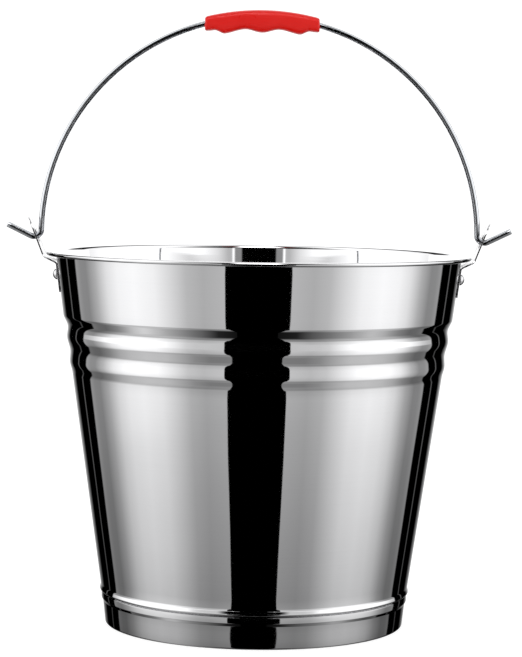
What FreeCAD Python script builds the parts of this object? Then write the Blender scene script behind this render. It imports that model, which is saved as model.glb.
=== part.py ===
import FreeCAD, Part
import math
import os
import re

import Sketcher
from FreeCAD import Placement, Rotation, Vector

# A tapered stainless steel pail with a bail handle.
# Frame: millimetres, +Z up, origin on the floor under the centre of the foot, ears on the X axis.

DRIVING_SIZES = {
    # pail wall, measured on its outer surface
    "pail_height": 254.0,        # floor to the top of the rolled rim
    "rim_radius": 145.0,         # outside of the rolled rim
    "foot_radius": 101.8,        # outside of the foot ring at the floor
    "sheet_thickness": 0.6,
    "roll_radius": 1.4,          # outside radius of the rolled rim's section
    "roll_sweep": 250.0,         # degrees that the edge is rolled through
    "rim_overhang": 6.85,        # from the neck out to the outside of the rim
    "rim_rise": 0.8,             # from the neck up to the top of the rim
    "neck_bend": 2.4,
    "band_height": 43.2,         # plain upper band, neck down to shoulder
    "band_flare": 5.6,           # radius that the upper band gains on the way up
    "shoulder_height": 6.7,
    "shoulder_step": 3.3,
    "upper_bead_drop": 7.3,      # shoulder foot down to the upper bead's crest
    "upper_bead_rise": 1.0,
    "bead_fall": 9.7,            # crest down to the valley under it
    "bead_step": 2.7,            # radius lost from the upper crest to the valley
    "lower_bead_drop": 6.3,
    "lower_bead_rise": 0.5,
    "lower_bead_fall": 6.2,
    "lower_bead_step": 1.7,
    "bead_bend": 4.0,
    "shoulder_bend": 2.4,
    # foot: the wall ends in a bead and a tuck that stands inside the foot ring
    "collar_height": 21.0,       # top edge of the foot ring
    "collar_depth": 4.5,         # height of the ring's raised upper edge
    "collar_slope": 2.2,         # height over which the ring steps in below it
    "collar_step": 1.2,
    "foot_flare": 1.6,           # radius that the ring's band gains on the way up
    "foot_flange": 5.0,          # width of the ring's turned-in standing edge
    "foot_bend": 1.5,
    "foot_bead_rise": 1.35,      # crest of the wall's lowest bead beyond the ring
    "foot_bead_root": 0.55,      # where the bead runs into the wall, beyond the ring
    "foot_bead_height": 3.0,     # crest above the ring's top edge, and root above the crest
    "foot_bead_bend": 0.9,
    "collar_bend": 1.0,
    "tuck_lift": 0.5,            # the tucked edge and the bottom stand this far up the collar
    "seam_gap": 0.05,
    "panel_margin": 15.3,        # pressed bottom: flat border round its raised middle
    "panel_rise": 2.0,
    "panel_slope": 4.0,          # width of the step up to the raised middle
    "panel_bend": 3.0,
    # ears: bent strips, each held by two rivets
    "ear_thickness": 1.0,
    "ear_lean": 21.0,            # degrees that the tongue leans outwards
    "ear_neck_drop": 8.0,        # top of the rim down to where an ear leaves the wall
    "ear_plate_length": 20.3,    # from there down to the lower edge of the riveted plate
    "ear_half_width": 17.5,
    "tongue_half_width": 11.0,
    "ear_turn_drop": 3.9,        # top of the rim down to the outer bend
    "ear_bend": 3.0,
    "ear_corner": 5.0,
    "tongue_round": 10.6,
    "ear_trim": 1.0,             # cut off the bent strip all round
    "ear_tip_height": 13.4,      # centre of the hole up to the tip
    "ear_hole_radius": 5.0,
    "rivet_angle": 5.2,          # degrees each side of the ear's middle
    "rivet_drop": 8.0,           # from where an ear leaves the wall down to its rivets
    "rivet_radius": 2.0,
    "rivet_head_radius": 3.9,
    "rivet_head_height": 2.7,
    "rivet_tail_radius": 3.2,
    "rivet_tail_height": 1.3,
    "rivet_seat_gap": 0.07,      # flat head on a curved plate
    # bail: a half circle of wire with a hook at each end
    "wire_radius": 2.0,
    "bail_clearance": 1.5,       # between the rim and the inside of the bail
    "bail_centre_rise": 11.3,    # centre of the bail's half circle above the rim
    "hook_inner_bend": 3.0,      # inside of the bend from the leg into the hook
    "hook_bend_rise": 2.6,       # centre of the hook's bend above the bail's centre
    "hook_rise": 26.0,           # degrees that the hook's end rises
    "hook_length": 17.6,
    "wire_end_chamfer": 0.5,
    "ear_wire_gap": 0.5,         # between an ear and the bail's leg when the bail lies flat
    # grip
    "grip_half_length": 39.2,    # measured round the wire
    "grip_wall": 2.6,            # over the wire, at the back of the hand
    "grip_end_wall": 3.6,        # under the wire, at the ends
    "grip_width": 14.0,
    "lobe_spacing": 24.4,
    "lobe_depth": 7.5,           # side lobes below the underside of the wire
    "middle_lobe_depth": 8.8,
    "groove_depth": 5.8,
    "lobe_bend": 7.0,
    "grip_edge": 4.0,
    "grip_gap": 0.05,
    "drill_overrun": 2.0,        # how far each drill and bore runs past the metal it cuts
}

doc = FreeCAD.newDocument("wash_bucket")
sheet = doc.addObject("Spreadsheet::Sheet", "Sizes")
for row, (alias, value) in enumerate(DRIVING_SIZES.items(), start=1):
    sheet.set(f"A{row}", alias)
    sheet.set(f"B{row}", str(value))
    sheet.setAlias(f"B{row}", alias)
doc.recompute()


def named(expression):
    """Point every driving size in an expression at the sheet."""
    return re.sub(r"[A-Za-z_]\w*",
                  lambda word: "Sizes." + word[0] if word[0] in DRIVING_SIZES else word[0],
                  expression)


def value_of(expression):
    """The number that an expression over the driving sizes gives."""
    found = sheet.evalExpression(named(expression))
    return float(getattr(found, "Value", found))


def bind(target, prop, expression):
    target.setExpression(prop, named(expression))


# --- places that several pieces share, as expressions over the driving sizes ---
NECK_R = "(rim_radius - rim_overhang)"
NECK_Z = "(pail_height - rim_rise)"
SHOULDER_R = f"({NECK_R} - band_flare)"
SHOULDER_Z = f"({NECK_Z} - band_height)"
SHOULDER_FOOT_R = f"({SHOULDER_R} - shoulder_step)"
SHOULDER_FOOT_Z = f"({SHOULDER_Z} - shoulder_height)"
BEAD_R = f"({SHOULDER_FOOT_R} + upper_bead_rise)"
BEAD_Z = f"({SHOULDER_FOOT_Z} - upper_bead_drop)"
VALLEY_R = f"({BEAD_R} - bead_step)"
VALLEY_Z = f"({BEAD_Z} - bead_fall)"
LOW_BEAD_R = f"({VALLEY_R} + lower_bead_rise)"
LOW_BEAD_Z = f"({VALLEY_Z} - lower_bead_drop)"
CONE_R = f"({LOW_BEAD_R} - lower_bead_step)"
CONE_Z = f"({LOW_BEAD_Z} - lower_bead_fall)"
COLLAR_R = "(foot_radius + foot_flare + collar_step)"
TUCK_R = f"({COLLAR_R} - sheet_thickness - seam_gap)"
FOOT_BEAD_Z = "(collar_height + foot_bead_height)"
BAND_TILT = "atan(band_flare / band_height)"
EAR_NECK_Z = "(pail_height - ear_neck_drop)"
HOOK_BEND = "(hook_inner_bend + wire_radius)"
BAIL_R = "(rim_radius + bail_clearance + wire_radius)"
BAIL_Z = "(pail_height + bail_centre_rise)"
HOOK_X = f"sqrt(pow({BAIL_R} + {HOOK_BEND}; 2) - pow(hook_bend_rise; 2))"
HOOK_Z = f"({BAIL_Z} + hook_bend_rise)"
PIVOT_OUT = "((wire_radius + ear_wire_gap + ear_thickness / 2) / cos(ear_lean))"
PIVOT_X = f"({HOOK_X} - {HOOK_BEND} + {PIVOT_OUT})"
PIVOT_Z = f"({HOOK_Z} - sqrt(pow({HOOK_BEND}; 2) - pow({HOOK_BEND} - {PIVOT_OUT}; 2)))"


def band_radius(height):
    """Outer radius of the wall's upper band at a height."""
    return f"({NECK_R} - band_flare * ({NECK_Z} - ({height})) / band_height)"


def tongue_inner_x(height):
    """Inner face of an ear's leaning tongue at a height."""
    at_pivot = f"({PIVOT_X} - ear_thickness / 2 / cos(ear_lean))"
    return f"({at_pivot} - ({PIVOT_Z} - ({height})) * tan(ear_lean))"


def round_the_bail(angle, radius):
    """A corner given by its angle from the crown and its distance from the bail's centre."""
    return f"{radius} * sin({angle})", f"{BAIL_Z} + {radius} * cos({angle})"


# --- sketching ---
def origin_plane(body, role):
    return next(item for item in body.Origin.OriginFeatures if item.Role == role)


def body_sketch(body, name, role):
    sketch = body.newObject("Sketcher::SketchObject", name)
    sketch.AttachmentSupport = (origin_plane(body, role), [""])
    sketch.MapMode = "FlatFace"
    return sketch


def side_sketch(name):
    """A free sketch on the X-Z plane, its second axis up."""
    sketch = doc.addObject("Sketcher::SketchObject", name)
    sketch.Placement = Placement(Vector(0, 0, 0), Rotation(Vector(1, 0, 0), 90))
    return sketch


def end_sketch(name):
    """A free sketch on the Y-Z plane, its second axis up."""
    sketch = doc.addObject("Sketcher::SketchObject", name)
    sketch.Placement = Placement(Vector(0, 0, 0), Rotation(90, 0, 90))
    return sketch


class Outline:
    """Constrained geometry in one sketch, with every dimension bound to the sheet."""

    def __init__(self, sketch):
        self.sketch = sketch
        self.bindings = {}

    def dimension(self, kind, *where, to):
        name = f"d{len(self.bindings)}"
        value = math.radians(value_of(to)) if kind == "Angle" else value_of(to)
        index = self.sketch.addConstraint(Sketcher.Constraint(kind, *where, value))
        self.sketch.renameConstraint(index, name)
        self.bindings[name] = to

    def relate(self, kind, *where):
        self.sketch.addConstraint(Sketcher.Constraint(kind, *where))

    def place(self, geometry, point, across, up):
        """Fix a point by its two coordinates; "0" puts it on the sketch's own axis."""
        for kind, axis, to in (("DistanceX", -2, across), ("DistanceY", -1, up)):
            if to == "0":
                self.relate("PointOnObject", geometry, point, axis)
            else:
                self.dimension(kind, -1, 1, geometry, point, to=to)

    def chain(self, corners, closed=False, loose_end=False):
        """Straight runs from corner to corner; a corner's third entry rounds it off.

        A loose end is left for the caller to join to something.
        """
        points = [Vector(value_of(across), value_of(up), 0) for across, up, _ in corners]
        count = len(corners) if closed else len(corners) - 1
        lines = []
        for start in range(count):
            end = (start + 1) % len(corners)
            lines.append(self.sketch.addGeometry(Part.LineSegment(points[start], points[end])))
        for before, after in zip(lines, lines[1:]):
            self.relate("Coincident", before, 2, after, 1)
        if closed:
            self.relate("Coincident", lines[-1], 2, lines[0], 1)
        for index, (across, up, _) in enumerate(corners):
            if index < count:
                self.place(lines[index], 1, across, up)
            elif not loose_end:
                self.place(lines[-1], 2, across, up)
        for index, (_, _, bend) in enumerate(corners):
            if bend:
                self.round_off(lines[index], bend)
        return lines

    def round_off(self, line, bend):
        first_new = self.sketch.GeometryCount
        self.sketch.fillet(line, 1, value_of(bend), True, True)
        arc = next(i for i in range(first_new, self.sketch.GeometryCount)
                   if isinstance(self.sketch.Geometry[i], Part.ArcOfCircle))
        self.dimension("Radius", arc, to=bend)

    def circle(self, across, up, radius):
        middle = Vector(value_of(across), value_of(up), 0)
        circle = self.sketch.addGeometry(Part.Circle(middle, Vector(0, 0, 1), value_of(radius)))
        self.place(circle, 3, across, up)
        self.dimension("Radius", circle, to=radius)

    def arc(self, across, up, radius, start, end):
        """An anticlockwise arc between two angles in degrees, drawn but not yet constrained."""
        middle = Vector(value_of(across), value_of(up), 0)
        circle = Part.Circle(middle, Vector(0, 0, 1), value_of(radius))
        return self.sketch.addGeometry(
            Part.ArcOfCircle(circle, math.radians(start), math.radians(end)))

    def finish(self):
        for name, to in self.bindings.items():
            bind(self.sketch, f"Constraints.{name}", to)
        doc.recompute()
        return self.sketch


FLAT = 0.01


def edges_where(shape, wanted):
    """Names of the edges whose bounding box passes a test."""
    return [f"Edge{index}" for index, edge in enumerate(shape.Edges, start=1)
            if wanted(edge.BoundBox)]


# --- pressed and bent sheet: an open outline spun about Z, then thickened ---
def spun_sheet(name, outline, thickness, angle="360"):
    skin = doc.addObject("Part::Revolution", name + "_skin")
    skin.Source = outline
    skin.Axis = Vector(0, 0, 1)
    skin.Solid = False
    skin.Symmetric = angle != "360"
    bind(skin, "Angle", angle)
    plate = doc.addObject("Part::Offset", name + "_sheet")
    plate.Source = skin
    plate.Fill = True
    bind(plate, "Value", thickness)
    return plate


def bored(name, base, drills):
    """A piece with every drill's hole cut through it."""
    bundle = doc.addObject("Part::MultiFuse", name + "_drills")
    bundle.Shapes = drills
    cut = doc.addObject("Part::Cut", name)
    cut.Base = base
    cut.Tool = bundle
    return cut


# --- rivet places: each axis is square to the cone of the upper band ---
RIVET_Z = f"({EAR_NECK_Z} - rivet_drop)"
RIVET_R = f"({band_radius(RIVET_Z)} + seam_gap + ear_thickness / cos({BAND_TILT}))"
RIVET_STACK = "(ear_thickness + seam_gap + sheet_thickness + rivet_seat_gap)"
EARS = {"ear_right": 0, "ear_left": 180}
RIVETS = {
    "rivet_right_front": "(0 - rivet_angle)",
    "rivet_right_rear": "rivet_angle",
    "rivet_left_front": "(180 + rivet_angle)",
    "rivet_left_rear": "(180 - rivet_angle)",
}


def place_on_rivet_axis(target, turn, depth="0"):
    """Stand a piece's own Z along a rivet's axis, its zero that deep under the ear's face."""
    out = f"({RIVET_R} - {depth} * cos({BAND_TILT}))"
    up = f"{RIVET_Z} + {depth} * sin({BAND_TILT})"
    spot = f"create(<<vector>>; {out} * cos({turn}); {out} * sin({turn}); {up})"
    lean = f"create(<<rotation>>; {turn}; 90 + {BAND_TILT} / 1 deg; 0)"
    bind(target, "Placement", f"create(<<placement>>; {spot}; {lean})")


def rivet_drill(piece, turn):
    drill = doc.addObject("Part::Cylinder", piece + "_rivet_drill")
    bind(drill, "Radius", "rivet_radius + seam_gap")
    bind(drill, "Height", f"{RIVET_STACK} + 2 * drill_overrun")
    place_on_rivet_axis(drill, turn, depth=f"({RIVET_STACK} + drill_overrun)")
    return drill


# --- pail wall ---
def pail_wall():
    sketch = side_sketch("pail_wall_outline")
    outline = Outline(sketch)
    lines = outline.chain([
        (TUCK_R, "collar_height - collar_depth + tuck_lift", None),
        (TUCK_R, "collar_height + tuck_lift / 2", "foot_bead_bend"),
        (f"{COLLAR_R} + foot_bead_rise", FOOT_BEAD_Z, "foot_bead_bend"),
        (f"{COLLAR_R} + foot_bead_root", f"{FOOT_BEAD_Z} + foot_bead_height", "bead_bend"),
        (CONE_R, CONE_Z, "bead_bend"),
        (LOW_BEAD_R, LOW_BEAD_Z, "bead_bend"),
        (VALLEY_R, VALLEY_Z, "bead_bend"),
        (BEAD_R, BEAD_Z, "bead_bend"),
        (SHOULDER_FOOT_R, SHOULDER_FOOT_Z, "shoulder_bend"),
        (SHOULDER_R, SHOULDER_Z, "shoulder_bend"),
        (NECK_R, NECK_Z, "neck_bend"),
        ("rim_radius - 1.4 * roll_radius", "pail_height - 0.6 * roll_radius", None),
    ], loose_end=True)
    # the flange runs out level to the rolled edge, which curls down under it
    flange_turn = math.degrees(math.atan2(value_of("rim_rise - roll_radius"),
                                          value_of("rim_overhang - roll_radius"))) + 90
    roll = outline.arc("rim_radius - roll_radius", "pail_height - roll_radius",
                       "roll_radius - sheet_thickness",
                       flange_turn - value_of("roll_sweep"), flange_turn)
    outline.place(roll, 3, "rim_radius - roll_radius", "pail_height - roll_radius")
    outline.dimension("Radius", roll, to="roll_radius - sheet_thickness")
    outline.relate("Tangent", lines[-1], 2, roll, 2)
    outline.dimension("Angle", roll, to="roll_sweep")
    plate = spun_sheet("pail_wall", outline.finish(), "0 - sheet_thickness")
    bored("pail_wall", plate, [rivet_drill("pail_wall", turn) for turn in RIVETS.values()])


# --- foot ring and bottom ---
def foot_ring():
    outline = Outline(side_sketch("foot_ring_outline"))
    outline.chain([
        ("foot_radius - foot_flange", "0", None),
        ("foot_radius", "0", "foot_bend"),
        ("foot_radius + foot_flare", "collar_height - collar_depth - collar_slope", "collar_bend"),
        (COLLAR_R, "collar_height - collar_depth", "collar_bend"),
        (COLLAR_R, "collar_height", None),
    ])
    spun_sheet("foot_ring", outline.finish(), "0 - sheet_thickness").Label = "foot_ring"


def base_disc():
    floor_z = "(collar_height - collar_depth + tuck_lift)"
    upstand_r = f"({TUCK_R} - sheet_thickness - seam_gap)"
    outline = Outline(side_sketch("base_disc_outline"))
    outline.chain([
        ("0", f"{floor_z} + panel_rise", None),
        (f"{upstand_r} - panel_margin - panel_slope", f"{floor_z} + panel_rise", "panel_bend"),
        (f"{upstand_r} - panel_margin", floor_z, "panel_bend"),
        (upstand_r, floor_z, "foot_bend"),
        (upstand_r, "collar_height", None),
    ])
    spun_sheet("base_disc", outline.finish(), "0 - sheet_thickness").Label = "base_disc"


# --- ears ---
def ear(name, half_turn):
    """A strip bent round the rim, trimmed to a riveted plate with a round-ended tongue."""
    plate_z = f"({EAR_NECK_Z} - ear_plate_length)"
    tip_z = f"({PIVOT_Z} + ear_tip_height)"
    turn_z = "(pail_height - ear_turn_drop)"
    side = Outline(side_sketch(name + "_side"))
    side.chain([
        (f"{band_radius(plate_z + ' - ear_trim')} + seam_gap", f"{plate_z} - ear_trim", None),
        (f"{band_radius(EAR_NECK_Z)} + seam_gap", EAR_NECK_Z, "ear_bend"),
        (tongue_inner_x(turn_z), turn_z, "ear_bend"),
        (tongue_inner_x(tip_z + " + ear_trim"), f"{tip_z} + ear_trim", None),
    ])
    strip = spun_sheet(name, side.finish(), "ear_thickness",
                       f"2 * asin((ear_half_width + ear_trim) / {band_radius(plate_z)}) / 1 deg")

    front = Outline(end_sketch(name + "_front"))
    front.chain([
        ("0 - ear_half_width", plate_z, "ear_corner"),
        ("ear_half_width", plate_z, "ear_corner"),
        ("ear_half_width", f"{EAR_NECK_Z} - ear_corner", "ear_corner"),
        ("tongue_half_width", f"{EAR_NECK_Z} + ear_corner", "ear_corner"),
        ("tongue_half_width", tip_z, "tongue_round"),
        ("0 - tongue_half_width", tip_z, "tongue_round"),
        ("0 - tongue_half_width", f"{EAR_NECK_Z} + ear_corner", "ear_corner"),
        ("0 - ear_half_width", f"{EAR_NECK_Z} - ear_corner", "ear_corner"),
    ], closed=True)
    blank = doc.addObject("Part::Extrusion", name + "_blank")
    blank.Base = front.finish()
    blank.DirMode = "Custom"
    blank.Dir = Vector(1, 0, 0)
    blank.Solid = True
    bind(blank, "LengthFwd", f"{PIVOT_X} + ear_tip_height")
    trimmed = doc.addObject("Part::Common", name + "_trimmed")
    trimmed.Base = strip
    trimmed.Tool = blank

    bore = doc.addObject("Part::Cylinder", name + "_bore")
    bind(bore, "Radius", "ear_hole_radius")
    reach = "(ear_hole_radius * tan(ear_lean) + ear_thickness + drill_overrun)"
    bind(bore, "Height", f"2 * {reach}")
    bind(bore, "Placement", f"create(<<placement>>; create(<<vector>>; {PIVOT_X} - {reach};"
                            f" 0; {PIVOT_Z}); create(<<rotation>>; 0; 90; 0))")
    drills = [rivet_drill(name, turn) for turn in ("rivet_angle", "(0 - rivet_angle)")]
    piece = bored(name, trimmed, [bore] + drills)
    piece.Placement = Placement(Vector(0, 0, 0), Rotation(Vector(0, 0, 1), half_turn))


def rivet(name, turn):
    body = doc.addObject("PartDesign::Body", name)
    sketch = body_sketch(body, name + "_section", "XZ_Plane")
    outline = Outline(sketch)
    seat = "rivet_seat_gap"
    tail_seat = f"(0 - {RIVET_STACK})"
    lines = outline.chain([
        ("0", f"{seat} + rivet_head_height", None),
        ("0", f"{tail_seat} - rivet_tail_height", None),
        ("rivet_tail_radius", f"{tail_seat} - rivet_tail_height", "rivet_tail_height / 2"),
        ("rivet_tail_radius", tail_seat, None),
        ("rivet_radius", tail_seat, None),
        ("rivet_radius", seat, None),
        ("rivet_head_radius", seat, None),
    ])
    head_r = value_of("rivet_head_radius")
    head_h = value_of("rivet_head_height")
    dome_r = f"((pow(rivet_head_radius; 2) + pow(rivet_head_height; 2)) / 2 / rivet_head_height)"
    edge_angle = math.degrees(math.atan2(value_of(f"rivet_head_height - {dome_r}"), head_r))
    dome = outline.arc("0", f"{seat} + rivet_head_height - {dome_r}", dome_r, edge_angle, 90)
    outline.relate("Coincident", dome, 1, lines[-1], 2)
    outline.relate("Coincident", dome, 2, lines[0], 1)
    outline.relate("PointOnObject", dome, 3, -2)
    outline.finish()
    turned = body.newObject("PartDesign::Revolution", name + "_turned")
    turned.Profile = sketch
    turned.ReferenceAxis = (sketch, ["V_Axis"])
    turned.Angle = 360
    place_on_rivet_axis(body, turn)


# --- bail ---
def bail():
    """Half of the wire from the crown to a hook's end, mirrored to the other side."""
    body = doc.addObject("PartDesign::Body", "bail")
    path = body_sketch(body, "bail_path", "XZ_Plane")
    outline = Outline(path)
    meeting = math.degrees(math.asin(value_of(f"hook_bend_rise / ({BAIL_R} + {HOOK_BEND})")))
    arch = outline.arc("0", BAIL_Z, BAIL_R, meeting, 90)
    outline.place(arch, 3, "0", BAIL_Z)
    outline.dimension("Radius", arch, to=BAIL_R)
    outline.relate("PointOnObject", arch, 2, -2)
    hook = outline.arc(HOOK_X, HOOK_Z, HOOK_BEND, 180 + meeting, 270 + value_of("hook_rise"))
    end_x = value_of(f"{HOOK_X} + {HOOK_BEND} * sin(hook_rise)")
    end_z = value_of(f"{HOOK_Z} - {HOOK_BEND} * cos(hook_rise)")
    reach = value_of("hook_length")
    rise = math.radians(value_of("hook_rise"))
    tail = outline.sketch.addGeometry(Part.LineSegment(
        Vector(end_x, end_z, 0),
        Vector(end_x + reach * math.cos(rise), end_z + reach * math.sin(rise), 0)))
    outline.dimension("Radius", hook, to=HOOK_BEND)
    outline.dimension("DistanceY", -1, 1, hook, 3, to=HOOK_Z)
    outline.relate("Tangent", arch, 1, hook, 1)
    outline.relate("Tangent", hook, 2, tail, 1)
    outline.dimension("Angle", tail, to="hook_rise")
    outline.dimension("Distance", tail, to="hook_length")
    outline.finish()

    section = body_sketch(body, "bail_section", "YZ_Plane")
    ring = Outline(section)
    ring.circle("0", f"{BAIL_Z} + {BAIL_R}", "wire_radius")
    ring.finish()
    half = body.newObject("PartDesign::AdditivePipe", "bail_half")
    half.Profile = section
    half.Spine = path
    doc.recompute()
    whole = body.newObject("PartDesign::Mirrored", "bail_whole")
    whole.Originals = [half]
    whole.MirrorPlane = (origin_plane(body, "YZ_Plane"), [""])
    body.Tip = whole
    doc.recompute()
    bend_x = value_of(f"{HOOK_X} + {HOOK_BEND}")
    ends = edges_where(whole.Shape, lambda box: max(box.XMin, -box.XMax) > bend_x)
    trim = body.newObject("PartDesign::Chamfer", "bail_ends")
    trim.Base = (whole, ends)
    bind(trim, "Size", "wire_end_chamfer")


# --- grip ---
def grip():
    """A block bent with the wire: plain back, finger lobes below, a bore for the wire."""
    body = doc.addObject("PartDesign::Body", "grip")
    under = f"({BAIL_R} - wire_radius)"
    over = f"({BAIL_R} + wire_radius + grip_wall)"
    reach = f"(grip_half_length / {BAIL_R} * 180 / pi)"
    lobe = f"(lobe_spacing / {BAIL_R} * 180 / pi)"
    waves = [
        (reach, f"({under} - grip_end_wall)", None),
        (lobe, f"({under} - lobe_depth)", "lobe_bend"),
        (f"({lobe} / 2)", f"({under} - groove_depth)", "lobe_bend"),
    ]
    side = body_sketch(body, "grip_side", "XZ_Plane")
    outline = Outline(side)
    corners = [(*round_the_bail(reach, over), None)]
    corners += [(*round_the_bail(angle, radius), bend) for angle, radius, bend in waves]
    corners += [("0", f"{BAIL_Z} + {under} - middle_lobe_depth", "lobe_bend")]
    corners += [(*round_the_bail(f"(0 - {angle})", radius), bend)
                for angle, radius, bend in reversed(waves)]
    corners += [(*round_the_bail(f"(0 - {reach})", over), None)]
    lines = outline.chain(corners)
    half_angle = value_of(reach)
    back = outline.arc("0", BAIL_Z, over, 90 - half_angle, 90 + half_angle)
    outline.relate("Coincident", back, 1, lines[0], 1)
    outline.relate("Coincident", back, 2, lines[-1], 2)
    outline.dimension("Radius", back, to=over)
    outline.finish()
    block = body.newObject("PartDesign::Pad", "grip_block")
    block.Profile = side
    block.Midplane = True
    bind(block, "Length", "grip_width")
    doc.recompute()
    side_y = value_of("grip_width") / 2
    soft = body.newObject("PartDesign::Fillet", "grip_soft_edges")
    soft.Base = (block, edges_where(
        block.Shape, lambda box: box.YLength < FLAT and abs(abs(box.YMin) - side_y) < FLAT
        and box.XLength > box.ZLength))
    bind(soft, "Radius", "grip_edge")
    doc.recompute()
    section = body_sketch(body, "grip_bore_section", "YZ_Plane")
    ring = Outline(section)
    ring.circle("0", f"{BAIL_Z} + {BAIL_R}", "wire_radius + grip_gap")
    axis = ring.sketch.addGeometry(Part.LineSegment(
        Vector(0, value_of(BAIL_Z), 0), Vector(value_of("grip_width"), value_of(BAIL_Z), 0)), True)
    ring.place(axis, 1, "0", BAIL_Z)
    ring.place(axis, 2, "grip_width", BAIL_Z)
    ring.finish()
    bore = body.newObject("PartDesign::Groove", "grip_bore")
    bore.Profile = section
    bore.ReferenceAxis = (section, ["Axis0"])
    bore.Midplane = True
    bind(bore, "Angle", f"2 * ({reach} + lobe_spacing / {BAIL_R} * 180 / pi)")
    doc.recompute()
    if bore.Shape.Volume >= soft.Shape.Volume:
        raise RuntimeError("the grip's bore removed nothing")


pail_wall()
foot_ring()
base_disc()
for ear_name, half_turn in EARS.items():
    ear(ear_name, half_turn)
for rivet_name, rivet_turn in RIVETS.items():
    rivet(rivet_name, rivet_turn)
bail()
grip()
doc.recompute()

for item in doc.Objects:
    if "Invalid" in item.State or "Error" in item.State:
        raise RuntimeError(f"{item.Label} failed: {item.State}")
    if item.TypeId == "Sketcher::SketchObject" and not item.FullyConstrained:
        raise RuntimeError(f"{item.Label} is not fully constrained")

shapes = {}
for node in ("pail_wall", "foot_ring", "base_disc", *EARS, *RIVETS, "bail", "grip"):
    shape = doc.getObjectsByLabel(node)[0].Shape
    if shape.isNull() or not shape.isValid() or len(shape.Solids) != 1:
        raise RuntimeError(f"{node} is not one valid solid")
    shapes[node] = shape

os.makedirs("parts", exist_ok=True)
for node, shape in shapes.items():
    shape.exportStep(f"parts/{node}.step")
    print(f"{node}: {shape.Volume:.0f} mm3")
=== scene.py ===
import math

import bmesh
import bpy
from mathutils import Matrix, Vector, noise


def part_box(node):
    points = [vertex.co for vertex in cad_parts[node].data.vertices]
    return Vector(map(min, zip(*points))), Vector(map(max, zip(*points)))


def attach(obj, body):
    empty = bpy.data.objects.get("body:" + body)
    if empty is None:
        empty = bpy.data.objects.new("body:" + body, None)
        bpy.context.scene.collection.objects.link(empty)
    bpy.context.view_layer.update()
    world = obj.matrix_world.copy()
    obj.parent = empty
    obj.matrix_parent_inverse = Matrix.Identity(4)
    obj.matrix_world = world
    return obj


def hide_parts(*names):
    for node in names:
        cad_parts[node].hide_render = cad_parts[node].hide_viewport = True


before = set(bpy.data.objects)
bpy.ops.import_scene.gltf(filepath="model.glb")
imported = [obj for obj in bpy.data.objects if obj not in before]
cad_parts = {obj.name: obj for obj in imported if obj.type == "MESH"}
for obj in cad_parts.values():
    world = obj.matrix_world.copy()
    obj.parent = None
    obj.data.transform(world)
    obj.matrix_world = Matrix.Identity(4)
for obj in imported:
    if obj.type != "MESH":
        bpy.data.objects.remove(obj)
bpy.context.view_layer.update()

# A polished steel pail. Sizes are in millimetres and are turned into metres by MM.
MM = 0.001
SEGMENTS = 384                   # facets round a turned piece
ARC_STEP = math.radians(3)
RUN_STEP = 6.0                   # longest step along a straight run of an outline

FINISHES = {
    # slot: colour, lowest and highest roughness, brushing, waviness (millimetres)
    # the foot ring is darker than its steel, which stands for the shade close to the floor
    "pail_steel": ((0.79, 0.79, 0.80), 0.015, 0.04, 0.001, 0.02),
    "foot_steel": ((0.49, 0.49, 0.495), 0.02, 0.06, 0.002, 0.02),
    "ear_steel": ((0.62, 0.62, 0.63), 0.10, 0.22, 0.004, 0.02),
    "rivet_steel": ((0.68, 0.68, 0.69), 0.06, 0.16, 0.003, 0.02),
    "bail_wire": ((0.70, 0.72, 0.75), 0.05, 0.14, 0.004, 0.03),
}

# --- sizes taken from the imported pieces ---
wall_low, wall_high = (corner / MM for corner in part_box("pail_wall"))
ring_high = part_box("foot_ring")[1] / MM
bail_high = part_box("bail")[1] / MM
grip_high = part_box("grip")[1] / MM

SHEET = 0.6
SEAM_GAP = 0.05
rim_r = wall_high.x
rim_top = wall_high.z
collar_r = ring_high.x
collar_top = ring_high.z
tuck_z = wall_low.z


# --- outlines ---
def rounded(corners):
    """Points along an outline of (across, up, bend) corners, with each bend drawn as an arc."""
    places = [Vector(corner[:2]) for corner in corners]
    points = [places[0]]
    for index in range(1, len(corners) - 1):
        here = places[index]
        bend = corners[index][2]
        back = (places[index - 1] - here).normalized()
        ahead = (places[index + 1] - here).normalized()
        half = back.angle(ahead) / 2
        if not bend:
            points.append(here)
            continue
        centre = here + (back + ahead).normalized() * bend / math.sin(half)
        start = here + back * bend / math.tan(half) - centre
        turn = start.angle_signed(here + ahead * bend / math.tan(half) - centre)
        steps = max(2, math.ceil(abs(turn) / ARC_STEP))
        for step in range(steps + 1):
            points.append(centre + Matrix.Rotation(-turn * step / steps, 2) @ start)
    points.append(places[-1])
    return points


def divided(points):
    """The same outline with its long runs cut into short ones."""
    result = [points[0]]
    for before, after in zip(points, points[1:]):
        count = max(1, math.ceil((after - before).length / RUN_STEP))
        result += [before.lerp(after, step / count) for step in range(1, count + 1)]
    return result


def arc_points(centre, radius, start, end, count=None):
    """Points on an arc from one angle to another, in degrees, in steps of ARC_STEP or a count."""
    count = count or max(2, math.ceil(abs(math.radians(end - start)) / ARC_STEP))
    angles = [math.radians(start + (end - start) * step / count) for step in range(count + 1)]
    return [centre + radius * Vector((math.cos(a), math.sin(a))) for a in angles]


def sheet_section(outline, thickness, round_start=True, round_end=True):
    """A closed section that lies to the left of an outline, with rounded edges."""
    count = len(outline)
    inner = []
    for index in range(count):
        before = outline[max(index - 1, 0)]
        after = outline[min(index + 1, count - 1)]
        along = (after - before).normalized()
        inner.append(outline[index] + thickness * Vector((-along.y, along.x)))
    section = list(outline)
    for is_rounded, first, last in ((round_end, outline[-1], inner[-1]),
                                    (round_start, inner[0], outline[0])):
        if is_rounded:
            middle = (first + last) / 2
            spoke = first - middle
            section += [middle + Matrix.Rotation(math.pi * step / 4, 2) @ spoke
                        for step in (1, 2, 3)]
        if first is outline[-1]:
            section += list(reversed(inner))
    return section


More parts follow.
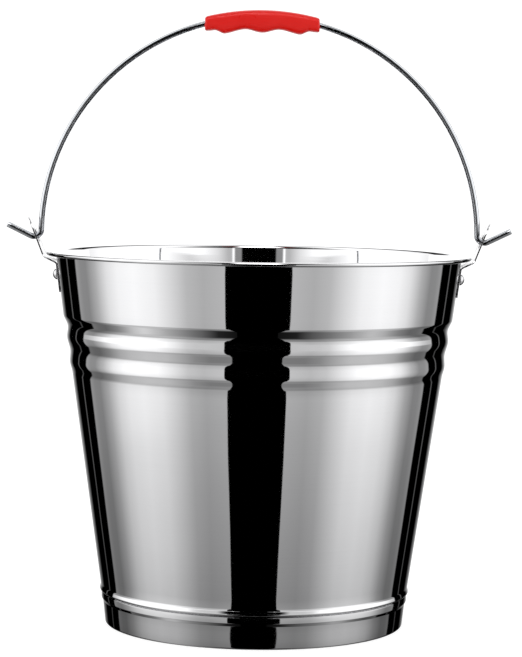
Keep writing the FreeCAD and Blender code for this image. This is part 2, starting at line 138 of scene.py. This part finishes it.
# --- meshes ---
def finish_mesh(name, mesh, sharp=35):
    """An object made from the mesh, smooth but for edges sharper than an angle in degrees."""
    bmesh.ops.recalc_face_normals(mesh, faces=mesh.faces)
    data = bpy.data.meshes.new(name)
    mesh.to_mesh(data)
    mesh.free()
    data.polygons.foreach_set("use_smooth", [True] * len(data.polygons))
    data.set_sharp_from_angle(angle=math.radians(sharp))
    piece = bpy.data.objects.new(name, data)
    bpy.context.scene.collection.objects.link(piece)
    return piece


def bridge(mesh, rings, closed_path=False):
    """Faces between neighbouring rings of vertices."""
    size = len(rings[0])
    pairs = list(zip(rings, rings[1:]))
    if closed_path:
        pairs.append((rings[-1], rings[0]))
    for ring, following in pairs:
        for index in range(size):
            after = (index + 1) % size
            mesh.faces.new((ring[index], ring[after], following[after], following[index]))


WAVES_ROUND = 3.0                # how fast the waviness changes round a turned piece
WAVE_HEIGHT = 55.0               # and over what height


def lathe(name, section, segments=SEGMENTS, waviness=0.0, stand=None):
    """A closed section of (radius, height) points turned about Z, in millimetres."""
    mesh = bmesh.new()
    rings = []
    for step in range(segments):
        angle = 2 * math.pi * step / segments
        out = Vector((math.sin(angle), -math.cos(angle), 0))
        ring = []
        for radius, height in section:
            wave = noise.noise(Vector((WAVES_ROUND * out.x, WAVES_ROUND * out.y,
                                       height / WAVE_HEIGHT)))
            away = radius + waviness * wave if radius else 0.0
            ring.append(mesh.verts.new((out * away + Vector((0, 0, height))) * MM))
        rings.append(ring)
    bridge(mesh, rings, closed_path=True)
    bmesh.ops.remove_doubles(mesh, verts=mesh.verts, dist=1e-7)
    if stand:
        bmesh.ops.transform(mesh, matrix=stand, verts=mesh.verts)
    return finish_mesh(name, mesh)


# --- node helpers ---
def node(tree, kind, settings=(), **inputs):
    """A node with its inputs set by socket name or number (as _0, _1), from values or sockets."""
    made = tree.nodes.new("ShaderNode" + kind)
    for setting, value in dict(settings).items():
        setattr(made, setting, value)
    for name, value in inputs.items():
        key = int(name[1:]) if name[0] == "_" else name.replace("_", " ")
        if isinstance(value, bpy.types.NodeSocket):
            tree.links.new(value, made.inputs[key])
        else:
            made.inputs[key].default_value = value
    return made


def math_node(tree, operation, *values):
    inputs = {f"_{index}": value for index, value in enumerate(values)}
    return node(tree, "Math", {"operation": operation}, **inputs).outputs[0]


def ramp(tree, factor, stops):
    """A grey ramp with straight runs through (position, level) stops."""
    made = node(tree, "ValToRGB", Fac=factor)
    made.color_ramp.interpolation = "LINEAR"
    elements = made.color_ramp.elements
    for index, (position, level) in enumerate(stops):
        element = elements[index] if index < 2 else elements.new(position)
        element.position = position
        element.color = (level, level, level, 1)
    return made.outputs["Color"]


def stretched_noise(tree, scale, across, up, detail=3.0, roughness=0.5):
    """Noise in the piece's own coordinates, squeezed along Z to run round the piece."""
    coordinates = node(tree, "TexCoord").outputs["Object"]
    stretch = node(tree, "Mapping", Vector=coordinates, Scale=(across, across, up))
    made = node(tree, "TexNoise", Vector=stretch.outputs[0], Scale=scale, Detail=detail,
                Roughness=roughness)
    return made.outputs["Fac"]


# --- materials ---
def steel(slot):
    """Polished or zinc-bright steel: brushing round the piece, faint smears and waviness."""
    colour, smooth, rough, brushing, waviness = FINISHES[slot]
    material = bpy.data.materials.new(slot + "_look")
    material.use_nodes = True
    tree = material.node_tree
    shader = tree.nodes["Principled BSDF"]
    shader.inputs["Metallic"].default_value = 1.0
    smears = stretched_noise(tree, 9.0, 1.0, 1.6, detail=5.0, roughness=0.6)
    lines = stretched_noise(tree, 1.0, 14.0, 2600.0, detail=2.0)
    shade = math_node(tree, "MULTIPLY_ADD", lines, 0.06, 0.0)
    shade = math_node(tree, "MULTIPLY_ADD", smears, 0.05, shade)
    tint = node(tree, "Mix", {"data_type": "RGBA"}, Factor=shade)
    tint.inputs["A"].default_value = (*colour, 1)
    tint.inputs["B"].default_value = (0.35, 0.35, 0.36, 1)
    tree.links.new(tint.outputs["Result"], shader.inputs["Base Color"])
    worn = math_node(tree, "MULTIPLY_ADD", lines, 0.35, math_node(tree, "MULTIPLY", smears, 0.65))
    roughness = node(tree, "MapRange", Value=worn, From_Min=0.32, From_Max=0.68,
                     To_Min=smooth, To_Max=rough)
    tree.links.new(roughness.outputs["Result"], shader.inputs["Roughness"])
    fine = node(tree, "Bump", Height=lines, Strength=1.0, Distance=brushing * MM)
    waves = stretched_noise(tree, 22.0, 1.0, 1.0, detail=1.0)
    broad = node(tree, "Bump", Height=waves, Strength=1.0, Distance=waviness * MM,
                 Normal=fine.outputs[0])
    tree.links.new(broad.outputs[0], shader.inputs["Normal"])
    return material


def red_plastic():
    """Moulded plastic with a soft gloss, faint flow marks and scuffs from use."""
    material = bpy.data.materials.new("grip_plastic_look")
    material.use_nodes = True
    tree = material.node_tree
    shader = tree.nodes["Principled BSDF"]
    shader.inputs["IOR"].default_value = 1.5
    shader.inputs["Specular IOR Level"].default_value = 0.3
    blotches = stretched_noise(tree, 60.0, 1.0, 1.0, detail=4.0)
    grain = stretched_noise(tree, 1400.0, 1.0, 1.0, detail=2.0)
    tint = node(tree, "Mix", {"data_type": "RGBA"}, Factor=blotches)
    tint.inputs["A"].default_value = (0.60, 0.004, 0.002, 1)
    tint.inputs["B"].default_value = (0.66, 0.008, 0.004, 1)
    tree.links.new(tint.outputs["Result"], shader.inputs["Base Color"])
    roughness = node(tree, "MapRange", Value=blotches, From_Min=0.3, From_Max=0.7,
                     To_Min=0.24, To_Max=0.36)
    tree.links.new(roughness.outputs["Result"], shader.inputs["Roughness"])
    bump = node(tree, "Bump", Height=grain, Strength=0.6, Distance=0.03 * MM)
    tree.links.new(bump.outputs[0], shader.inputs["Normal"])
    return material


LOOKS = {slot: steel(slot) for slot in FINISHES}
LOOKS["grip_plastic"] = red_plastic()


def place(piece, body, slot, *nodes):
    """Finish a piece: its material, the body that it moves with and the nodes it stands for."""
    piece.data.materials.clear()
    piece.data.materials.append(LOOKS[slot])
    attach(piece, body)
    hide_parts(*nodes)


# --- pail wall ---
RIM_OVERHANG = 6.85              # from the neck out to the outside of the rim
RIM_RISE = 0.8                   # from the neck up to the top of the rim
NECK_R = rim_r - RIM_OVERHANG
NECK_Z = rim_top - RIM_RISE
NECK_BEND = 2.4
BAND_HEIGHT = 43.2               # plain upper band, neck down to shoulder
BAND_FLARE = 5.6                 # radius that the band gains on the way up
ROLL_R = 1.4
ROLL_SWEEP = 250.0               # degrees that the edge is rolled through


def pail_wall():
    """A tuck inside the foot ring, a low bead, two beads, a shoulder, a band and a rolled rim."""
    tuck_r = collar_r - SHEET - SEAM_GAP
    shoulder_r = NECK_R - BAND_FLARE
    shoulder_z = NECK_Z - BAND_HEIGHT
    roll_centre = Vector((rim_r - ROLL_R, rim_top - ROLL_R))
    curl = ROLL_R - SHEET
    neck = Vector((NECK_R, NECK_Z))
    reach = roll_centre - neck
    # the flange meets the roll's inner surface where it is tangent to it
    to_tangent = math.degrees(math.asin(curl / reach.length))
    heading = math.degrees(math.atan2(reach.y, reach.x)) + to_tangent
    flange_turn = heading + 90
    roll = arc_points(roll_centre, curl, flange_turn, flange_turn - ROLL_SWEEP)
    outline = rounded([
        # the tuck and the lowest bead
        (tuck_r, tuck_z, None),
        (tuck_r, collar_top + 0.6, 0.9),
        (collar_r + 1.35, collar_top + 2.3, 1.2),
        (collar_r + 0.55, collar_top + 5.4, 4.0),
        # valleys and crests of the two beads, from the lowest up
        (shoulder_r - 6.2, shoulder_z - 37.2, 20.0),
        (shoulder_r - 4.5, shoulder_z - 31.6, 13.0),
        (shoulder_r - 5.0, shoulder_z - 23.3, 14.0),
        (shoulder_r - 2.3, shoulder_z - 14.6, 13.0),
        (shoulder_r - 3.3, shoulder_z - 6.7, 9.0),
        # the shoulder and the neck
        (shoulder_r, shoulder_z, 6.0),
        (NECK_R, NECK_Z, NECK_BEND),
        (*roll[0], None),
    ])
    section = sheet_section(divided(outline) + roll[1:], SHEET)
    place(lathe("steel_wall", section, waviness=0.05), "pail", "pail_steel", "pail_wall")


# --- foot ring ---
FOOT_INSET = 2.8                 # from the collar in to the outside of the standing edge
FOOT_FLANGE = 5.0                # width of the turned-in standing edge


def foot_ring():
    """A band that stands on its turned-in edge and steps out to a collar."""
    foot_r = collar_r - FOOT_INSET
    outline = rounded([
        (foot_r - FOOT_FLANGE, 0.0, None),
        (foot_r, 0.0, 1.5),
        (foot_r + 1.75, collar_top - 5.4, 1.0),
        (collar_r, collar_top - 3.4, 1.0),
        (collar_r, collar_top + 0.4, None),
    ])
    section = sheet_section(divided(outline), SHEET)
    place(lathe("steel_foot_ring", section, waviness=0.04), "pail", "foot_steel", "foot_ring")


# --- bottom ---
PANEL_MARGIN = 15.3              # flat border round the raised middle
PANEL_RISE = 2.0
PANEL_SLOPE = 4.0                # width of the step up to the raised middle
PANEL_BEND = 3.0


def base_disc():
    """A disc with a raised middle and an upstand inside the wall's tuck."""
    upstand_r = collar_r - 2 * (SHEET + SEAM_GAP)
    panel_foot = upstand_r - PANEL_MARGIN
    outline = rounded([
        (0.0, tuck_z + PANEL_RISE, None),
        (panel_foot - PANEL_SLOPE, tuck_z + PANEL_RISE, PANEL_BEND),
        (panel_foot, tuck_z, PANEL_BEND),
        (upstand_r, tuck_z, 1.5),
        (upstand_r, collar_top, None),
    ])
    section = sheet_section(divided(outline), SHEET, round_start=False)
    place(lathe("steel_bottom", section), "pail", "pail_steel", "base_disc")


pail_wall()
foot_ring()
base_disc()


# --- ears ---
EAR_THICKNESS = 1.0
EAR_NECK_DROP = 8.0              # top of the rim down to where an ear leaves the wall
EASED_EDGE = 0.16


def ear(side):
    """The bent strip with its sheared edges eased."""
    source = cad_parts["ear_" + side]
    mesh = bmesh.new()
    mesh.from_mesh(source.data)
    bmesh.ops.remove_doubles(mesh, verts=mesh.verts, dist=1e-6)
    bmesh.ops.dissolve_limit(mesh, angle_limit=math.radians(0.4), verts=mesh.verts,
                             edges=mesh.edges)
    edges = [edge for edge in mesh.edges
             if len(edge.link_faces) == 2 and edge.calc_face_angle() > math.radians(50)]
    bmesh.ops.bevel(mesh, geom=edges, offset=EASED_EDGE * MM, segments=2, profile=0.5,
                    affect="EDGES", clamp_overlap=True)
    place(finish_mesh("steel_ear_" + side, mesh, sharp=40), "pail", "ear_steel", "ear_" + side)


# --- rivets ---
RIVET_ANGLE = 5.2                # degrees each side of an ear's middle
RIVET_BELOW_EAR_NECK = 8.0
RIVET_DROP = EAR_NECK_DROP + RIVET_BELOW_EAR_NECK - RIM_RISE
RIVET_R = 2.0
RIVET_SEGMENTS = 48
HEAD_R = 3.9
HEAD_RISE = 2.7
HEAD_EDGE = 0.35                 # height of the edge under the dome
HEAD_EDGE_IN = 0.25              # from the head's full radius in to the foot of that edge
TAIL_R = 3.2
TAIL_RISE = 1.3
TAIL_BEND = 0.8
SEAT_GAP = 0.07                  # flat head on a curved plate
BAND_TILT = math.atan(BAND_FLARE / BAND_HEIGHT)


def rivet(name, turn):
    """A domed head on the ear and a set tail inside the pail, on an axis square to the band."""
    stack = EAR_THICKNESS + SEAM_GAP + SHEET + SEAT_GAP
    tail_end = -stack - TAIL_RISE
    dome_r = (HEAD_R ** 2 + HEAD_RISE ** 2) / (2 * HEAD_RISE)
    centre = Vector((0, SEAT_GAP + HEAD_RISE - dome_r))
    low = math.degrees(math.asin((SEAT_GAP + HEAD_EDGE - centre.y) / dome_r))
    section = [Vector((0, tail_end))]
    section += rounded([(TAIL_R - 1.4, tail_end, None), (TAIL_R, tail_end, TAIL_BEND),
                        (TAIL_R, -stack, None)])
    section += [Vector((RIVET_R, -stack)), Vector((RIVET_R, SEAT_GAP))]
    section += [Vector((HEAD_R - HEAD_EDGE_IN, SEAT_GAP))]
    section += arc_points(centre, dome_r, low, 90)
    band_r = NECK_R - BAND_FLARE * RIVET_DROP / BAND_HEIGHT
    out = band_r + SEAM_GAP + EAR_THICKNESS / math.cos(BAND_TILT)
    spot = Vector((out * math.cos(turn), out * math.sin(turn), NECK_Z - RIVET_DROP)) * MM
    axis = Vector((math.cos(turn) * math.cos(BAND_TILT), math.sin(turn) * math.cos(BAND_TILT),
                   -math.sin(BAND_TILT)))
    stand = Matrix.Translation(spot) @ axis.to_track_quat("Z", "Y").to_matrix().to_4x4()
    piece = lathe("steel_" + name, section, segments=RIVET_SEGMENTS, stand=stand)
    place(piece, "pail", "rivet_steel", name)


for side, middle, front in (("right", 0.0, -1), ("left", math.pi, 1)):
    ear(side)
    for end, way in (("front", front), ("rear", -front)):
        rivet(f"rivet_{side}_{end}", middle + way * math.radians(RIVET_ANGLE))


# --- bail ---
WIRE_R = bail_high.y
WIRE_SIDES = 32
WIRE_END_CHAMFER = 0.5
BAIL_CLEARANCE = 1.5             # between the rim and the inside of the bail
BAIL_R = rim_r + BAIL_CLEARANCE + WIRE_R
BAIL_Z = bail_high.z - WIRE_R - BAIL_R
HOOK_INNER_BEND = 3.0
HOOK_BEND = HOOK_INNER_BEND + WIRE_R
HOOK_BEND_RISE = 2.6             # centre of the hook's bend above the bail's centre
HOOK_BEND_STEPS = 14
HOOK_RISE = math.radians(26.0)   # slope of the hook's end
HOOK_LENGTH = 17.6
HOOK_STEPS = 6


def bail():
    """The wire's centreline from one hook to the other, swept with a round section."""
    meeting = math.degrees(math.asin(HOOK_BEND_RISE / (BAIL_R + HOOK_BEND)))
    hook_x = math.sqrt((BAIL_R + HOOK_BEND) ** 2 - HOOK_BEND_RISE ** 2)
    hook = Vector((hook_x, BAIL_Z + HOOK_BEND_RISE))
    half = arc_points(Vector((0, BAIL_Z)), BAIL_R, 90, meeting)
    bend = arc_points(hook, HOOK_BEND, 180 + meeting, 270 + math.degrees(HOOK_RISE),
                      count=HOOK_BEND_STEPS)
    along = Vector((math.cos(HOOK_RISE), math.sin(HOOK_RISE)))
    tail = [bend[-1] + along * HOOK_LENGTH * step / HOOK_STEPS
            for step in range(1, HOOK_STEPS + 1)]
    right = half + bend[1:] + tail
    left = [Vector((-point.x, point.y)) for point in reversed(right[1:])]
    path = left + right
    mesh = bmesh.new()
    rings = []
    turns = [2 * math.pi * side / WIRE_SIDES for side in range(WIRE_SIDES)]
    last = len(path) - 1
    for index, point in enumerate(path):
        ahead = (path[min(index + 1, last)] - path[max(index - 1, 0)]).normalized()
        across = Vector((-ahead.y, 0, ahead.x))
        centre = Vector((point.x, 0, point.y))
        rings.append([])
        for turn in turns:
            spoke = math.cos(turn) * across + math.sin(turn) * Vector((0, 1, 0))
            rings[-1].append(mesh.verts.new((centre + WIRE_R * spoke) * MM))
    bridge(mesh, rings)
    caps = [mesh.faces.new(rings[0]), mesh.faces.new(list(reversed(rings[-1])))]
    rims = {edge for cap in caps for edge in cap.edges}
    bmesh.ops.bevel(mesh, geom=list(rims), offset=WIRE_END_CHAMFER * MM, segments=3, profile=0.5,
                    affect="EDGES")
    place(finish_mesh("wire_bail", mesh), "bail", "bail_wire", "bail")


bail()


# --- grip ---
GRIP_HALF_LENGTH = 39.2          # measured round the wire
GRIP_WALL = 2.6                  # over the wire, at the back of the hand
GRIP_STEPS = 112
GRIP_SIDES = 48
SQUARENESS = 0.62                # 1 is an oval section, and less is squarer
END_RUN = 1.8                    # length over which an end is rounded off
END_LOSS = 0.35                  # share of the section's square that an end loses
END_POWER = 2.5
# (distance from the middle, depth below the wire): lobe, groove, lobe, shoulder and end
GRIP_WAVES = [(0.0, 8.6), (12.2, 6.0), (24.8, 7.3), (33.4, 3.6), (GRIP_HALF_LENGTH, 2.9)]


def grip_depth(along):
    """Depth below the wire's underside: a smooth run through the lobes and grooves."""
    along = abs(along)
    for (start, high), (end, low) in zip(GRIP_WAVES, GRIP_WAVES[1:]):
        if along <= end:
            share = (along - start) / (end - start)
            eased = (1 - math.cos(math.pi * share)) / 2
            return high + (low - high) * eased
    return GRIP_WAVES[-1][1]


def squared(value):
    """A cosine or sine pushed outwards, which squares a round section."""
    return math.copysign(abs(value) ** SQUARENESS, value)


def grip():
    """A block bent round the wire: plain back, soft edges and three finger lobes below."""
    top = BAIL_R + WIRE_R + GRIP_WALL
    under = BAIL_R - WIRE_R
    mesh = bmesh.new()
    rings = []
    for step in range(GRIP_STEPS + 1):
        along = -GRIP_HALF_LENGTH * math.cos(math.pi * step / GRIP_STEPS)
        end = max(0.0, 1.0 - (GRIP_HALF_LENGTH - abs(along)) / END_RUN)
        shrink = math.sqrt(max(0.0, 1 - END_LOSS * end ** END_POWER))
        bottom = under - grip_depth(along)
        middle = (top + bottom) / 2
        rise = (top - bottom) / 2 * shrink
        width = grip_high.y * shrink
        across = BAIL_R * math.sin(along / BAIL_R)
        ring = []
        for side in range(GRIP_SIDES):
            turn = 2 * math.pi * side / GRIP_SIDES
            radius = middle + rise * squared(math.sin(turn))
            point = Vector((across, width * squared(math.cos(turn)),
                            BAIL_Z + math.sqrt(radius ** 2 - across ** 2)))
            ring.append(mesh.verts.new(point * MM))
        rings.append(ring)
    bridge(mesh, rings)
    mesh.faces.new(rings[0])
    mesh.faces.new(list(reversed(rings[-1])))
    place(finish_mesh("moulded_grip", mesh, sharp=60), "bail", "grip_plastic", "grip")


grip()


# --- studio ---
FLOOR_HALF_SIZE = 6.0            # metres
FLOOR_GLOW = 0.66
REFLECTED_LEVEL = 1.24           # of the painted studio, which only mirrors see
OPEN_LEVEL = 1.15                # of the plain white that lights everything else
LAMP_LEVEL = 4.0
SAG = 16.4 / 180                 # how far the foot of the light rises on the way to the back
GAP_UNIT = 100 / 180             # turn that a gap level of 1 stands for


def studio_floor():
    """A pale floor that mirrors don't see."""
    mesh = bmesh.new()
    bmesh.ops.create_grid(mesh, x_segments=24, y_segments=24, size=FLOOR_HALF_SIZE)
    floor = finish_mesh("studio_floor", mesh)
    material = bpy.data.materials.new("pale_floor")
    material.use_nodes = True
    tree = material.node_tree
    shader = tree.nodes["Principled BSDF"]
    shader.inputs["Roughness"].default_value = 0.9
    shader.inputs["Specular IOR Level"].default_value = 0.0
    shader.inputs["Base Color"].default_value = (0.5, 0.5, 0.5, 1)
    shader.inputs["Emission Color"].default_value = (1, 1, 1, 1)
    shader.inputs["Emission Strength"].default_value = FLOOR_GLOW
    floor.data.materials.append(material)
    floor.visible_glossy = False


def studio_light():
    """Two tall softboxes, a dark gap between them for the camera, black flags behind them.

    The studio is painted by direction: turn is 0 in front of the pail and 1 behind it, and rise is
    0 straight down and 1 straight up. Stops are in degrees from the front and above the horizon.
    """
    world = bpy.data.worlds.new("studio")
    bpy.context.scene.world = world
    world.use_nodes = True
    tree = world.node_tree
    tree.nodes.clear()
    direction = node(tree, "SeparateXYZ", Vector=node(tree, "TexCoord").outputs["Generated"])
    x, y, z = direction.outputs
    toward_camera = math_node(tree, "MULTIPLY", y, -1.0)
    round_angle = math_node(tree, "ARCTAN2", math_node(tree, "ABSOLUTE", x), toward_camera)
    turn = math_node(tree, "DIVIDE", round_angle, math.pi)
    rise = math_node(tree, "MULTIPLY_ADD", math_node(tree, "ARCSINE", z), 1 / math.pi, 0.5)
    half_cosine = math_node(tree, "COSINE", math_node(tree, "MULTIPLY", round_angle, 0.5))
    sag = math_node(tree, "MULTIPLY_ADD", half_cosine, SAG, -SAG)
    wall_rise = math_node(tree, "ADD", rise, sag)

    def by_turn(*stops):
        return ramp(tree, turn, [(degrees / 180, level) for degrees, level in stops])

    def by_rise(*stops, measure=rise):
        return ramp(tree, measure, [(degrees / 180 + 0.5, level) for degrees, level in stops])

    def blend(share, first, second):
        return node(tree, "Mix", {"data_type": "FLOAT"}, Factor=share, A=first, B=second).outputs[0]

    # the softboxes below and above the horizon, with the flags behind them
    boxes = by_turn((17, 0.49), (32, 0.43), (42, 0.50), (52, 0.72), (62, 0.92), (76, 1.0),
                    (88, 0.93), (97, 0.76), (107, 0.42), (116, 0.235), (122, 0.24), (127.6, 0.30),
                    (128.2, 0.0), (139.2, 0.0), (139.6, 0.10), (141.0, 0.10), (141.4, 0.0),
                    (155, 0.0), (160, 0.14), (164, 0.28), (169, 0.45), (175, 0.75), (180, 0.95))
    above = by_turn((17, 0.45), (37, 0.48), (43, 0.54), (50, 0.73), (56, 0.88), (65, 1.0),
                    (100, 1.0), (116, 0.8), (127.6, 0.7), (128.2, 0.0), (139.2, 0.0),
                    (139.6, 0.10), (141.0, 0.10), (141.4, 0.0), (150, 0.0), (158, 0.5),
                    (165, 1.0), (180, 1.0))
    light = blend(by_rise((-90, 0.0), (0, 0.0), (4, 1.0), (90, 1.0)), boxes, above)
    # the light falls off towards the floor, and gains a little from below the horizon upwards
    fall = by_rise((-90, 0.30), (-57, 0.42), (-36, 0.56), (-30, 0.53), (-26.9, 0.50),
                   (-26.4, 0.55), (-25.6, 0.61),
                   (-24.5, 0.68), (-23.3, 0.77), (-22.2, 0.90), (-20, 0.97), (-18, 1.0), (90, 1.0),
                   measure=wall_rise)
    light = math_node(tree, "MULTIPLY", light, fall)
    lift = by_rise((-90, 1.0), (-16, 1.0), (4, 1.2), (90, 1.2))
    light = math_node(tree, "MULTIPLY", light, lift)
    # the table, where a direction runs steeply down, brighter on the left
    table = by_turn((17, 0.03), (24, 0.05), (31, 0.08), (37, 0.26), (43, 0.43), (50, 0.47),
                    (56, 0.53), (63, 0.59), (70, 0.73), (78, 1.0), (86, 1.5), (94, 1.6),
                    (103, 1.2), (180, 1.0))
    table = math_node(tree, "MULTIPLY", table, math_node(tree, "MULTIPLY_ADD", x, -0.25, 1.0))
    steep = by_rise((-90, 1.0), (-50, 1.0), (-33, 0.0), (90, 0.0))
    light = math_node(tree, "MULTIPLY", light, blend(steep, 1.0, table))
    # the dark gap in front: its half width and how softly it ends
    gap = by_rise((-90, 0.15), (-26.5, 0.168), (-23, 0.183), (-15, 0.192), (11.2, 0.192),
                  (11.8, 0.104), (14, 0.104), (15, 0.195), (90, 0.20))
    gap_turn = math_node(tree, "MULTIPLY", gap, GAP_UNIT)
    softness = by_rise((-90, 0.004), (15, 0.004), (22, 0.5), (90, 0.5))
    gap_end = math_node(tree, "MULTIPLY_ADD", softness, GAP_UNIT, gap_turn)
    edge = node(tree, "MapRange", {"interpolation_type": "SMOOTHSTEP"}, Value=turn,
                From_Min=gap_turn, From_Max=gap_end)
    light = math_node(tree, "MULTIPLY", light, edge.outputs["Result"])
    # a narrow band of directions that the inside of the mouth mirrors
    inside = by_turn((0, 0.0), (10.2, 0.0), (10.6, 0.22), (14.4, 0.22), (14.9, 1.0), (15.8, 1.0),
                     (16.2, 0.40), (18.4, 0.40), (24.6, 0.65), (31, 0.84), (37, 1.0), (180, 1.0))
    inside = math_node(tree, "MULTIPLY", inside, 1.2)
    within = by_rise((-90, 0.0), (11.2, 0.0), (11.8, 1.0), (14, 1.0), (14.8, 0.0), (90, 0.0))
    light = blend(within, light, inside)
    # a lamp high in front
    lamp_turn = by_turn((0, 1.0), (12, 1.0), (18, 0.0), (180, 0.0))
    lamp_rise = by_rise((-90, 0.0), (34, 0.0), (40, 1.0), (62, 1.0), (68, 0.0), (90, 0.0))
    lamp = math_node(tree, "MULTIPLY", lamp_turn, lamp_rise)
    light = math_node(tree, "MULTIPLY_ADD", lamp, LAMP_LEVEL, light)
    reflected = node(tree, "Background", Color=light, Strength=REFLECTED_LEVEL)
    open_white = node(tree, "Background", Color=(1, 1, 1, 1), Strength=OPEN_LEVEL)
    glossy = node(tree, "LightPath").outputs["Is Glossy Ray"]
    mixed = node(tree, "MixShader", _0=glossy, _1=open_white.outputs[0], _2=reflected.outputs[0])
    node(tree, "OutputWorld", Surface=mixed.outputs[0])


def card(name, corners, level):
    """A card that only mirrors see."""
    mesh = bmesh.new()
    mesh.faces.new([mesh.verts.new(Vector(corner) * MM) for corner in corners])
    made = finish_mesh(name, mesh)
    material = bpy.data.materials.new(name + "_look")
    material.use_nodes = True
    shader = material.node_tree.nodes["Principled BSDF"]
    shader.inputs["Base Color"].default_value = (0, 0, 0, 1)
    shader.inputs["Specular IOR Level"].default_value = 0.0
    shader.inputs["Emission Color"].default_value = (1, 1, 1, 1)
    shader.inputs["Emission Strength"].default_value = level
    made.data.materials.append(material)
    made.visible_camera = False
    made.visible_diffuse = False
    made.visible_shadow = False


BLACK_CARD_FRONT = -420.0
BLACK_CARD_REAR = 30.0
BLACK_CARD_BELOW_TOP = 8.0       # under the bail's centreline
WHITE_CARD_BACK = 200.0          # behind the pail's middle
WHITE_CARD_HALF = 120.0
WHITE_CARD_HEIGHT = 60.0
WHITE_CARD_LEVEL = 1.4
CARD_RIM_OFFSET = 4.0            # the black card starts above the rim's top, the white one below


def cards():
    """A black card between the bail's legs and a white one behind the rim."""
    low = rim_top + CARD_RIM_OFFSET
    high = BAIL_Z + BAIL_R - BLACK_CARD_BELOW_TOP
    front, rear = BLACK_CARD_FRONT, BLACK_CARD_REAR
    card("studio_black_card", [(0, front, low), (0, rear, low), (0, rear, high),
                               (0, front, high)], 0.0)
    back, half = WHITE_CARD_BACK, WHITE_CARD_HALF
    foot = rim_top - CARD_RIM_OFFSET
    top = foot + WHITE_CARD_HEIGHT
    card("studio_white_card", [(-half, back, foot), (half, back, foot), (half, back, top),
                               (-half, back, top)], WHITE_CARD_LEVEL)


CAMERA_DISTANCE = 1.7357         # metres in front of the pail's middle
CAMERA_HEIGHT = 0.3287           # metres above the floor
CAMERA_TURNS = (-4.170, 0.072, 0.861)    # pitch, yaw and roll, in degrees
CAMERA_LENS = 139.52


def camera():
    """In front of the pail, a quarter of its width above the rim, looking slightly down."""
    pitch, yaw, roll = (math.radians(angle) for angle in CAMERA_TURNS)
    forward = Vector((math.sin(yaw) * math.cos(pitch), math.cos(yaw) * math.cos(pitch),
                      math.sin(pitch)))
    level = forward.cross(Vector((0, 0, 1))).normalized()
    right = (math.cos(roll) * level + math.sin(roll) * level.cross(forward)).normalized()
    up = right.cross(forward)
    data = bpy.data.cameras.new("camera")
    data.sensor_width = 36.0
    data.lens = CAMERA_LENS
    data.clip_end = 50.0
    made = bpy.data.objects.new("camera", data)
    bpy.context.scene.collection.objects.link(made)
    made.matrix_world = Matrix((
        (right.x, up.x, -forward.x, 0.0),
        (right.y, up.y, -forward.y, -CAMERA_DISTANCE),
        (right.z, up.z, -forward.z, CAMERA_HEIGHT),
        (0, 0, 0, 1)))
    bpy.context.scene.camera = made


studio_floor()
studio_light()
cards()
camera()
bpy.context.scene.view_settings.view_transform = "Standard"
